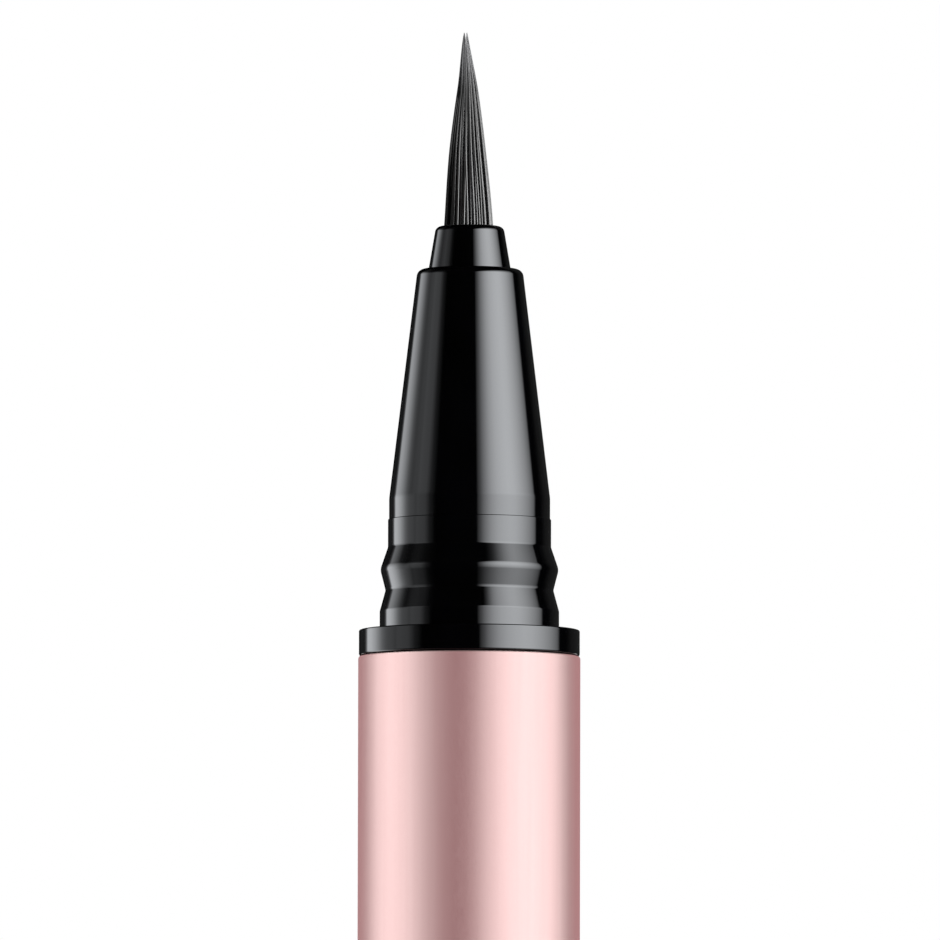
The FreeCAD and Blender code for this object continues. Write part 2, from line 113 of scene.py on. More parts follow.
# anodised aluminium, blasted, dyed rose: a satin metal whose lights spread wide, with a fine grain
barrelFinish = {
    "rose": "#e6c6c4",
    "roseDeep": "#e4c3c1",
    "lip": "#f7d9d5",          # painted highlight: the lip is paler, for the light it catches from above
    "paintedLipHighlightHeight": (0.14 * mm, 0.06 * mm),  # below the rim: where it starts, and where it is fully pale
    "paintedShade": "#060505",         # painted shade on the top of the rim, under the collar
    "paintedShadeHeight": (0.05 * mm, 0.02 * mm),
    "grain": 0.09 * mm,        # blasted pits, drawn three times coarser than they are
    "drawLine": 0.35 * mm,     # faint lines of the drawn tube, across
    "drawLength": 14.0 * mm,   # and along
    "roughness": (0.42, 0.48),
    "bump": (0.08, 0.02 * mm),  # strength and depth
}
barrelMetal, tree, shader, place = startMaterial("anodisedAluminiumRose")
grain = addNode(tree, "TexNoise", {"Vector": place, "Scale": 1 / barrelFinish["grain"], "Detail": 3.0})
stretch = addNode(tree, "Mapping", {"Vector": place, "Scale": (
    1 / barrelFinish["drawLine"], 1 / barrelFinish["drawLine"], 1 / barrelFinish["drawLength"])})
lines = addNode(tree, "TexNoise", {"Vector": stretch.outputs[0], "Scale": 1.0, "Detail": 4.0})
tone = addNode(tree, "ValToRGB", {"Fac": lines.outputs[0]}, stops=[
    (toneSpan[0], linear(barrelFinish["roseDeep"])), (toneSpan[1], linear(barrelFinish["rose"]))])
height = addNode(tree, "SeparateXYZ", {0: place}).outputs["Z"]
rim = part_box("barrel_sleeve")[1].z
# painted highlight: the metal turns paler along the lip
paintedLipHighlightLow, paintedLipHighlightHigh = (rim - below for below in barrelFinish["paintedLipHighlightHeight"])
paintedLipHighlightMask = addNode(tree, "MapRange", {"Value": height, "From Min": paintedLipHighlightLow, "From Max": paintedLipHighlightHigh})
colour = addNode(tree, "Mix", {0: paintedLipHighlightMask.outputs[0], 6: tone.outputs[0], 7: linear(barrelFinish["lip"])},
                 data_type="RGBA")
# painted shade: the rim's top turns near black under the collar
paintedShadeLow, paintedShadeHigh = (rim - below for below in barrelFinish["paintedShadeHeight"])
paintedShadeMask = addNode(tree, "MapRange", {"Value": height, "From Min": paintedShadeLow, "From Max": paintedShadeHigh})
colour = addNode(tree, "Mix", {0: paintedShadeMask.outputs[0], 6: colour.outputs[2], 7: linear(barrelFinish["paintedShade"])},
                 data_type="RGBA")
rough = addNode(tree, "MapRange", {"Value": grain.outputs[0], "From Min": noiseSpan[0], "From Max": noiseSpan[1],
                                   "To Min": barrelFinish["roughness"][0], "To Max": barrelFinish["roughness"][1]})
bump = addNode(tree, "Bump", {"Height": grain.outputs[0], "Strength": barrelFinish["bump"][0],
                              "Distance": barrelFinish["bump"][1]})
tree.links.new(colour.outputs[2], shader.inputs["Base Color"])
tree.links.new(rough.outputs[0], shader.inputs["Roughness"])
tree.links.new(bump.outputs[0], shader.inputs["Normal"])
shader.inputs["Metallic"].default_value = 1.0


# ABS, moulded black in a polished tool and lacquered: a deep black that shows the lights as clean bands
blackFinish = {
    "black": "#010101",
    "blackSoft": "#020203",
    "flow": 2.5 * mm,          # slow change of tone along the flow of the plastic
    "peel": 0.8 * mm,          # faint ripple of the lacquer
    "wipe": 0.12 * mm,         # wiping marks, drawn coarser than they are
    "flowSpan": (0.3, 0.75),   # of the noise, from black to the softer black
    "roughness": (0.05, 0.085),
    "bump": (0.02, 0.01 * mm),  # strength and depth
    "ior": 1.54,
    "coat": (1.0, 0.05),       # the lacquer's weight and roughness
}
blackPlastic, tree, shader, place = startMaterial("lacqueredAbsBlack")
flow = addNode(tree, "TexNoise", {"Vector": place, "Scale": 1 / blackFinish["flow"], "Detail": 2.0})
colour = addNode(tree, "ValToRGB", {"Fac": flow.outputs[0]}, stops=[
    (blackFinish["flowSpan"][0], linear(blackFinish["black"])),
    (blackFinish["flowSpan"][1], linear(blackFinish["blackSoft"]))])
wipe = addNode(tree, "TexNoise", {"Vector": place, "Scale": 1 / blackFinish["wipe"], "Detail": 2.0})
rough = addNode(tree, "MapRange", {"Value": wipe.outputs[0], "From Min": noiseSpan[0], "From Max": noiseSpan[1],
                                   "To Min": blackFinish["roughness"][0], "To Max": blackFinish["roughness"][1]})
peel = addNode(tree, "TexNoise", {"Vector": place, "Scale": 1 / blackFinish["peel"], "Detail": 1.0})
bump = addNode(tree, "Bump", {"Height": peel.outputs[0], "Strength": blackFinish["bump"][0],
                              "Distance": blackFinish["bump"][1]})
tree.links.new(colour.outputs[0], shader.inputs["Base Color"])
tree.links.new(rough.outputs[0], shader.inputs["Roughness"])
tree.links.new(bump.outputs[0], shader.inputs["Normal"])
shader.inputs["IOR"].default_value = blackFinish["ior"]
shader.inputs["Coat Weight"].default_value, shader.inputs["Coat Roughness"].default_value = blackFinish["coat"]


# PBT filament, drawn to a point and inked: each hair carries its own thin light, and the fine ends look paler
bristleFinish = {
    "dark": "#020202",
    "pale": "#151516",
    "tip": "#5e5e60",
    "inkSpan": (0.1, 0.5),     # of a hair's own shade, from dark to pale
    "tipStart": (0.68, 0.9),   # of the free length, where the fine ends begin and where they are fully pale
    "roughness": (0.05, 0.2),  # an inky hair, a dry one
    "tipDull": 0.15,           # more at the fine ends
    "ior": 1.57,
    "specular": 0.9,           # the wet film adds to it
    "streak": 0.03 * mm,       # marks across a hair
    "streakLength": 1.6 * mm,  # and along it
}
bristleFibre, tree, shader, place = startMaterial("inkedPbtFilament")
shade = addNode(tree, "Attribute", attribute_name="shade")
along = addNode(tree, "Attribute", attribute_name="along")
stretch = addNode(tree, "Mapping", {"Vector": place, "Scale": (
    1 / bristleFinish["streak"], 1 / bristleFinish["streak"], 1 / bristleFinish["streakLength"])})
streak = addNode(tree, "TexNoise", {"Vector": stretch.outputs[0], "Scale": 1.0, "Detail": 2.0})
mixed = addNode(tree, "Math", {0: shade.outputs["Fac"], 1: streak.outputs[0]}, operation="MULTIPLY")
body = addNode(tree, "ValToRGB", {"Fac": mixed.outputs[0]}, stops=[
    (bristleFinish["inkSpan"][0], linear(bristleFinish["dark"])),
    (bristleFinish["inkSpan"][1], linear(bristleFinish["pale"]))])
fine = addNode(tree, "MapRange", {"Value": along.outputs["Fac"], "From Min": bristleFinish["tipStart"][0],
                                  "From Max": bristleFinish["tipStart"][1]}, interpolation_type="SMOOTHSTEP")
colour = addNode(tree, "Mix", {0: fine.outputs[0], 6: body.outputs[0], 7: linear(bristleFinish["tip"])},
                 data_type="RGBA")
rough = addNode(tree, "MapRange", {"Value": mixed.outputs[0], "From Max": bristleFinish["inkSpan"][1],
                                   "To Min": bristleFinish["roughness"][0], "To Max": bristleFinish["roughness"][1]})
rough = addNode(tree, "Math", {0: fine.outputs[0], 1: bristleFinish["tipDull"], 2: rough.outputs[0]},
                operation="MULTIPLY_ADD")
tree.links.new(colour.outputs[2], shader.inputs["Base Color"])
tree.links.new(rough.outputs[0], shader.inputs["Roughness"])
shader.inputs["IOR"].default_value = bristleFinish["ior"]
shader.inputs["Specular IOR Level"].default_value = bristleFinish["specular"]
print("visible materials made")


# turned and moulded pieces, closed outlines in mm: (radius, level, round of the corner), the solid on the left
turning = {
    "sides": 288,
    "arcStep": 6.0,    # degrees of a round corner to a facet
    "leastSteps": 3,   # in the smallest corner
    "run": 4.0 * mm,   # longest facet along a straight stretch
}
barrelShape = {
    "radius": 5.2,
    "bore": 4.8,
    "rimRound": 0.14,
}
sectionShape = {       # levels above the barrel's rim
    "outline": (
        (2.8, -9.0, 0.0), (3.77, -9.0, 0.0),                      # skirt in the tank
        (3.77, -4.85, 0.0), (3.24, -4.85, 0.0), (3.24, -4.15, 0.0), (3.77, -4.15, 0.0),  # groove of the seal ring
        (3.77, 0.0, 0.0), (5.17, 0.0, 0.12), (5.17, 1.22, 0.07),  # collar on the barrel
        (4.2, 1.22, 0.0), (4.2, 2.1, 0.3),                        # land that guides the cap
        (3.93, 3.09, 0.3), (4.18, 4.065, 0.6), (3.82, 5.11, 0.35),  # valley and snap rib
        (3.82, 6.42, 0.045), (3.77, 6.42, 0.0), (3.77, 7.41, 1.5),  # neck and shoulder
        (2.465, 18.175, 0.36), (1.955, 18.175, 0.0),              # cone
        (1.955, 14.575, 0.0), (2.33, 14.575, 0.0), (2.33, 11.075, 0.0), (2.8, 9.575, 0.0),  # bores
    ),
}
holderShape = {        # levels above the cone's top
    "aside": 0.021 * mm,   # to the left, within the fit in the cone's bore
    "outline": (
        (1.88, -5.1, 0.0), (2.3, -5.1, 0.0), (2.3, -3.6, 0.0), (1.925, -3.6, 0.0),  # flange behind the cone's bore
        (1.925, 0.0, 0.0), (1.585, 2.015, 0.3), (1.245, 2.015, 0.03),               # nose and mouth
        (1.245, 1.115, 0.0), (1.425, 1.115, 0.0), (1.425, -4.5, 0.0), (1.88, -4.5, 0.0),  # seat of the ferrule
    ),
}


def roundedOutline(corners):  # points with the normal before and the normal after each
    places = [Vector((r, z)) * mm for r, z, _ in corners]
    outline = []
    for number, (place, (_, _, fillet)) in enumerate(zip(places, corners)):
        before = (place - places[number - 1]).normalized()
        after = (places[(number + 1) % len(places)] - place).normalized()
        normalIn, normalOut = Vector((before.y, -before.x)), Vector((after.y, -after.x))
        if not fillet:
            outline.append((place, normalIn, normalOut))
            continue
        bend = math.atan2(before.cross(after), before.dot(after))
        side = math.copysign(fillet * mm, bend)
        centre = place - before * abs(side) * math.tan(abs(bend) / 2) - normalIn * side
        steps = max(turning["leastSteps"], math.ceil(abs(math.degrees(bend)) / turning["arcStep"]))
        for step in range(steps + 1):
            turn = bend * step / steps
            normal = Vector((normalIn.x * math.cos(turn) - normalIn.y * math.sin(turn),
                             normalIn.x * math.sin(turn) + normalIn.y * math.cos(turn)))
            outline.append((centre + normal * side, normal, normal))
    divided = []
    for number, (place, normalIn, normalOut) in enumerate(outline):
        divided.append((place, normalIn, normalOut))
        ahead = outline[(number + 1) % len(outline)][0] - place
        parts = math.ceil(ahead.length / turning["run"])
        divided.extend((place + ahead * part / parts, normalOut, normalOut) for part in range(1, parts))
    return divided


def turnPiece(name, corners, level, material, node, aside=0.0):
    outline = roundedOutline([(r, z + level, fillet) for r, z, fillet in corners])
    sides = turning["sides"]
    angles = [math.tau * side / sides for side in range(sides + 1)]
    points = [(place.x * math.cos(a) - aside, place.x * math.sin(a), place.y)
              for place, _, _ in outline for a in angles[:-1]]
    faces, normals = [], []
    for low, (_, _, normalLow) in enumerate(outline):
        high = (low + 1) % len(outline)
        normalHigh = outline[high][1]
        for side in range(sides):
            after = (side + 1) % sides
            faces.append((low * sides + side, low * sides + after, high * sides + after, high * sides + side))
            for normal, a in ((normalLow, angles[side]), (normalLow, angles[side + 1]),
                              (normalHigh, angles[side + 1]), (normalHigh, angles[side])):
                normals.append((normal.x * math.cos(a), normal.x * math.sin(a), normal.y))
    mesh = bpy.data.meshes.new(name)
    mesh.from_pydata(points, [], faces)
    mesh.shade_smooth()
    mesh.normals_split_custom_set(normals)
    mesh.materials.append(material)
    piece = bpy.data.objects.new(name, mesh)
    scene.collection.objects.link(piece)
    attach(piece, "pen")
    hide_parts(node)
    return piece


barrelLow, barrelHigh = (corner.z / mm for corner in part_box("barrel_sleeve"))
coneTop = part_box("front_section")[1].z / mm
radius, bore, rimRound = barrelShape["radius"], barrelShape["bore"], barrelShape["rimRound"]
barrelTube = turnPiece("barrelTube", (
    (bore, barrelLow, 0.0), (radius, barrelLow, rimRound), (radius, barrelHigh, rimRound), (bore, barrelHigh, 0.0),
), 0.0, barrelMetal, "barrel_sleeve")
gripSection = turnPiece("gripSection", sectionShape["outline"], barrelHigh, blackPlastic,
                        "front_section")
brushNose = turnPiece("brushNose", holderShape["outline"], coneTop, blackPlastic, "brush_holder",
                      holderShape["aside"])
print("turned pieces made")


# brush: 169 tapered hairs on a fused root, drawn together to a point that parts in two
brush = {
    "root": 0.8 * mm,          # thickness of the fused disc
    "rootSides": 48,
    "rootShade": 0.2,
    "sink": 0.1 * mm,          # how deep the hairs start in it
    "lip": 0.9 * mm,           # the hairs stand straight up to this far below the nose's mouth
    "radius": 1.195 * mm,
    "taper": (1.0, 0.889, 0.744, 0.55, 0.318, 0.085),  # of the radius, in equal steps from the mouth to the tip
    "lean": (0.065 * mm, 0.068 * mm, 0.1 * mm),  # to the left: at the mouth, more by mid-length, more at the tip
    "leanOver": ((0.0, 0.45), (0.7, 1.0)),  # shares of the free length that the second and the third take
    "rings": 7,
    "fill": 0.97,              # thickness of a hair, of the room between the rings
    "thickness": (0.72, 1.04),  # and how it varies
    "jitter": 0.25,            # how far a hair stands aside in its ring, in parts of that room
    "sides": 8,
    "levels": 36,
    "shorter": 0.025,          # how much sooner an outer hair may end, of the free length
    "innerEnd": (0.9, 0.94),   # where the hairs inside end
    "point": 0.3,              # thickness that is left at a hair's end
    "pointLength": (0.08, 0.24),  # over which it thins, outside and inside
    "clumps": 18,              # wet hairs gather
    "uneven": 0.35,            # how far a clump lies from its even place, in parts of a clump
    "gather": (0.2, 0.65),     # how far they gather, at the mouth and by mid-length
    "gatherOver": (0.0, 0.5),
    "lockOver": (0.55, 0.8),   # where two clumps run together
    "depth": (0.1, 0.045),     # how much deeper a clump, and a hair in it, may lie
    "wander": (0.1, 0.04),     # radians that a clump, and a hair in it, strays by the tip
    "stray": (0.2, 0.34),      # share of the outer hairs that lie across the others, and how far they stray
    "settle": 0.6,             # share of all this that the tip draws in again
    "settleOver": (0.65, 0.9),
    "groove": 0.09,            # how much deeper the hairs between two clumps lie
    "swell": 6.0,              # how far a clump's film rounds over its hairs
    "wet": (0.04, 0.72),       # how far that film hides the single hairs, at the mouth and at the tip
    "wetOver": (0.4, 0.85),
    "part": 0.043 * mm,        # half of the gap between the two points
    "partStart": 0.97,
    "pinch": 0.6,              # how much slimmer each point gets
    "seed": 4,
}


def smooth(low, high, value):
    t = min(max((value - low) / (high - low), 0.0), 1.0)
    return t * t * (3 - 2 * t)


def blend(name, share):  # from the first of a pair to the second, over the span that goes with it
    first, second = brush[name]
    return first + (second - first) * smooth(*brush[name + "Over"], share)


def brushRadius(share):  # a smooth curve through the taper's steps
    taper = brush["taper"]
    last = len(taper) - 1
    step = min(max(int(share * last), 0), last - 1)
    t = share * last - step
    low, high = taper[step], taper[step + 1]
    slopeLow = (high - taper[step - 1]) / 2 if step else high - low
    slopeHigh = (taper[step + 2] - low) / 2 if step + 2 <= last else high - low
    bend = (1 - t) * (slopeLow - high + low) - t * (slopeHigh - high + low)
    return brush["radius"] * (low + (high - low) * t + t * (1 - t) * bend)


def brushSlope(share, step=0.01):
    return (brushRadius(share - step) - brushRadius(share + step)) / (2 * step)


def brushLean(share):
    mouth, middle, tip = brush["lean"]
    middleOver, tipOver = brush["leanOver"]
    return mouth + middle * smooth(*middleOver, share) + tip * smooth(*tipOver, share)


def makeBrush():
    chance = random.Random(brush["seed"])
    rootLow, tip = (corner.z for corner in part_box("brush_bristles"))
    rootTop = rootLow + brush["root"]
    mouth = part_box("brush_holder")[1].z
    length = tip - mouth
    spacing = 1.0 / (brush["rings"] + brush["fill"] / 2)  # of the brush's radius
    clumps = [{"turn": (i + chance.uniform(-brush["uneven"], brush["uneven"])) * math.tau / brush["clumps"],
               "depth": chance.random(), "wander": chance.uniform(-1, 1)} for i in range(brush["clumps"])]
    for first, second in zip(clumps[::2], clumps[1::2]):  # two clumps run together at the tip
        first["lock"] = second["lock"] = (first["turn"] + second["turn"]) / 2
    points, faces, normals, shades, alongs = [], [], [], [], []

    def addRing(x, y, z, radius, shade, along, slope=0.0, film=Vector((0.0, 0.0, 0.0))):
        for side in range(brush["sides"]):
            turn = math.tau * side / brush["sides"]
            points.append((x + radius * math.cos(turn), y + radius * math.sin(turn), z))
            normals.append((Vector((math.cos(turn), math.sin(turn), slope)) + film).normalized())
            shades.append(shade)
            alongs.append(along)

    def joinRings(count, start, sides):
        for level in range(count - 1):
            low, high = start + level * sides, start + (level + 1) * sides
            faces.extend((low + i, low + (i + 1) % sides, high + (i + 1) % sides, high + i) for i in range(sides))
        faces.append(tuple(start + i for i in reversed(range(sides))))
        faces.append(tuple(start + (count - 1) * sides + i for i in range(sides)))

    for ring in range(brush["rings"] + 1):
        count = 6 * ring or 1
        aside = brush["jitter"] * spacing / max(ring * spacing, spacing)
        outer = ring >= brush["rings"] - 1
        for number in range(count):
            turn = math.tau * number / count + chance.uniform(-1, 1) * aside
            clump = min(clumps, key=lambda c: abs(math.remainder(c["turn"] - turn, math.tau)))
            out = ring * spacing * (1 - brush["depth"][0] * clump["depth"] ** 2 - brush["depth"][1] * chance.random())
            off = math.remainder(turn - clump["turn"], math.tau)
            out *= 1 - brush["groove"] * (off * brush["clumps"] / math.pi) ** 2
            offLock = math.remainder(turn - clump["lock"], math.tau) / 2
            pull = -off * ring / brush["rings"]
            shade = chance.random()
            end = 1.0 - chance.random() ** 3 * brush["shorter"] if outer else chance.uniform(*brush["innerEnd"])
            thick = brush["radius"] * spacing * brush["fill"] / 2 * chance.uniform(*brush["thickness"])
            wander = brush["wander"][0] * clump["wander"] + brush["wander"][1] * chance.uniform(-1, 1)
            if ring == brush["rings"] and chance.random() < brush["stray"][0]:
                out = ring * spacing
                wander = brush["stray"][1] * chance.uniform(-1, 1)
            half = 1 if out * math.cos(turn) > 0.0 else -1
            thinFrom = end - brush["pointLength"][0 if outer else 1]
            start = len(points)
            rootX, rootY = (out * brush["radius"] * c for c in (math.cos(turn), math.sin(turn)))
            for z in (rootTop - brush["sink"], mouth - brush["lip"]):
                addRing(rootX, rootY, z, thick, shade, 0.0)
            for level in range(brush["levels"] + 1):
                share = end * level / brush["levels"]
                radius = brushRadius(share)
                settled = 1 - brush["settle"] * smooth(*brush["settleOver"], share)
                bend = turn + pull * blend("gather", share) + wander * share * settled
                parted = smooth(brush["partStart"], 1.0, share)
                near = smooth(*brush["lockOver"], share)
                reach = out * radius * (1 - brush["pinch"] * parted)
                reach *= 1 - brush["groove"] * near * (offLock * brush["clumps"] / math.pi) ** 2
                point = brush["point"] + (1 - brush["point"]) * smooth(end, thinFrom, share)
                slope = brushSlope(share) * out / length
                wet = blend("wet", share)
                over = bend + (off * (1 - near) + offLock * near) * brush["swell"]
                film = Vector((math.cos(over), math.sin(over), slope)) * out * wet / (1 - wet)
                x = reach * math.cos(bend) + half * brush["part"] * parted - brushLean(share)
                addRing(x, reach * math.sin(bend), mouth + length * share,
                        thick * radius / brush["radius"] * point, shade, share, slope, film)
            joinRings(brush["levels"] + 3, start, brush["sides"])
    hairCount = sum(6 * ring or 1 for ring in range(brush["rings"] + 1))
    start, sides = len(points), brush["rootSides"]
    for z in (rootLow, rootTop):
        for side in range(sides):
            turn = math.tau * side / sides
            points.append((brush["radius"] * math.cos(turn), brush["radius"] * math.sin(turn), z))
            normals.append(Vector((math.cos(turn), math.sin(turn), 0.0)))
            shades.append(brush["rootShade"])
            alongs.append(0.0)
    joinRings(2, start, sides)
    mesh = bpy.data.meshes.new("brushHairs")
    mesh.from_pydata(points, [], faces)
    for name, values in (("shade", shades), ("along", alongs)):
        mesh.attributes.new(name, "FLOAT", "POINT").data.foreach_set("value", values)
    mesh.shade_smooth()
    mesh.normals_split_custom_set_from_vertices(normals)
    mesh.materials.append(bristleFibre)
    hairs = bpy.data.objects.new("brushHairs", mesh)
    scene.collection.objects.link(hairs)
    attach(hairs, "pen")
    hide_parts("brush_bristles")
    print("brush made,", hairCount, "hairs")
    return hairs


hairs = makeBrush()


# pieces kept from the frame: tones, grain in mm (across, across, along the pen), roughness, bump
keptBumpDepth = 0.02 * mm
keptFinishes = {
    # ABS under a rose flake lacquer, meant to pass for the barrel: a little deeper, and glossier than the metal
    "lacqueredAbsRose": {
        "nodes": ("tail_plug",), "tones": ("#dcb2ae", "#e8c4c0"), "grain": (0.07, 0.07, 0.07),
        "roughness": (0.3, 0.4), "bump": 0.05,
        "sockets": {"Metallic": 0.75, "Coat Weight": 0.4, "Coat Roughness": 0.2}},
    # polypropylene without pigment: milky, lets light in a little way, with faint flow lines along the draw
    "naturalPolypropylene": {
        "nodes": ("ink_tank", "tank_plug"), "tones": ("#d9d8d0", "#ebeae4"), "grain": (0.9, 0.9, 9.0),
        "roughness": (0.36, 0.5), "bump": 0.05,
        "sockets": {"Subsurface Weight": 0.4, "Subsurface Scale": 0.6 * mm, "IOR": 1.49}},
    # steel, ground and polished: a small bright mirror with hair-fine scratches, drawn coarser
    "polishedBearingSteel": {
        "nodes": ("mixing_ball",), "tones": ("#a3a3a6", "#b9b9bb"), "grain": (0.5, 0.04, 0.04),
        "roughness": (0.07, 0.16), "bump": 0.03, "sockets": {"Metallic": 1.0}},
    # ABS without pigment, its thin fins stained by the ink that they hold back
    "inkStainedAbs": {
        "nodes": ("collector",), "tones": ("#c6c4bc", "#d9d7d0"), "grain": (0.7, 0.7, 0.7),
        "roughness": (0.42, 0.56), "bump": 0.06, "sockets": {"IOR": 1.54},
        "stain": ("#17161a", 1.3 * mm, 2.3 * mm)},  # from the axis: full up to here, gone by there
    # polyester fibres bonded to a rod and soaked with ink: dull, streaked along its length
    "bondedPolyesterFibre": {
        "nodes": ("feed_wick",), "tones": ("#0d0d0f", "#232326"), "grain": (0.05, 0.05, 2.5),
        "roughness": (0.75, 0.92), "bump": 0.4, "sockets": {"Sheen Weight": 0.3, "Sheen Roughness": 0.5}},
    # nitrile rubber: black with a grey bloom, no shine
    "nitrileRubber": {
        "nodes": ("seal_ring",), "tones": ("#0b0b0c", "#1b1b1d"), "grain": (0.25, 0.25, 0.25),
        "roughness": (0.55, 0.72), "bump": 0.1, "sockets": {"IOR": 1.52}},
    # aluminium, drawn to a sleeve: soft grey with fine lines along the draw
    "drawnAluminium": {
        "nodes": ("brush_ferrule",), "tones": ("#bcbcbf", "#d2d2d4"), "grain": (0.04, 0.04, 3.0),
        "roughness": (0.24, 0.38), "bump": 0.12, "sockets": {"Metallic": 1.0}},
}
for name, finish in keptFinishes.items():
    material, tree, shader, place = startMaterial(name)
    spread = addNode(tree, "Mapping", {"Vector": place, "Scale": [1 / (size * mm) for size in finish["grain"]]})
    grain = addNode(tree, "TexNoise", {"Vector": spread.outputs[0], "Scale": 1.0, "Detail": 3.0})
    colour = addNode(tree, "ValToRGB", {"Fac": grain.outputs[0]}, stops=[
        (share, linear(tone)) for share, tone in zip(toneSpan, finish["tones"])]).outputs[0]
    if "stain" in finish:
        stain, full, clear = finish["stain"]
        flat = addNode(tree, "VectorMath", {0: place, 1: (1.0, 1.0, 0.0)}, operation="MULTIPLY")
        fromAxis = addNode(tree, "VectorMath", {0: flat.outputs[0]}, operation="LENGTH")
        blot = addNode(tree, "Math", {0: grain.outputs[0], 1: clear - full, 2: fromAxis.outputs["Value"]},
                       operation="MULTIPLY_ADD")
        soaked = addNode(tree, "MapRange", {"Value": blot.outputs[0], "From Min": clear,
                                            "From Max": full + (clear - full) / 2})
        colour = addNode(tree, "Mix", {0: soaked.outputs[0], 6: colour, 7: linear(stain)},
                         data_type="RGBA").outputs[2]
    rough = addNode(tree, "MapRange", {"Value": grain.outputs[0], "From Min": noiseSpan[0], "From Max": noiseSpan[1],
                                       "To Min": finish["roughness"][0], "To Max": finish["roughness"][1]})
    bump = addNode(tree, "Bump", {"Height": grain.outputs[0], "Strength": finish["bump"], "Distance": keptBumpDepth})
    tree.links.new(colour, shader.inputs["Base Color"])
    tree.links.new(rough.outputs[0], shader.inputs["Roughness"])
    tree.links.new(bump.outputs[0], shader.inputs["Normal"])
    for socket, value in finish["sockets"].items():
        shader.inputs[socket].default_value = value
    for node in finish["nodes"]:
        mesh = nodes[node].data
        mesh.materials.clear()
        mesh.materials.append(material)
print("kept pieces dressed,", len(keptFinishes), "finishes")


# studio: soft panels round the pen, each for one finish, and black cards behind them that only reflections see
blackPieces = bpy.data.collections.new("litAsGloss")
for piece in (gripSection, brushNose):
    blackPieces.objects.link(piece)
hairPieces = bpy.data.collections.new("litAsHair")
hairPieces.objects.link(hairs)
rosePieces = bpy.data.collections.new("litAsMetal")
for piece in (barrelTube, nodes["tail_plug"]):
    rosePieces.objects.link(piece)

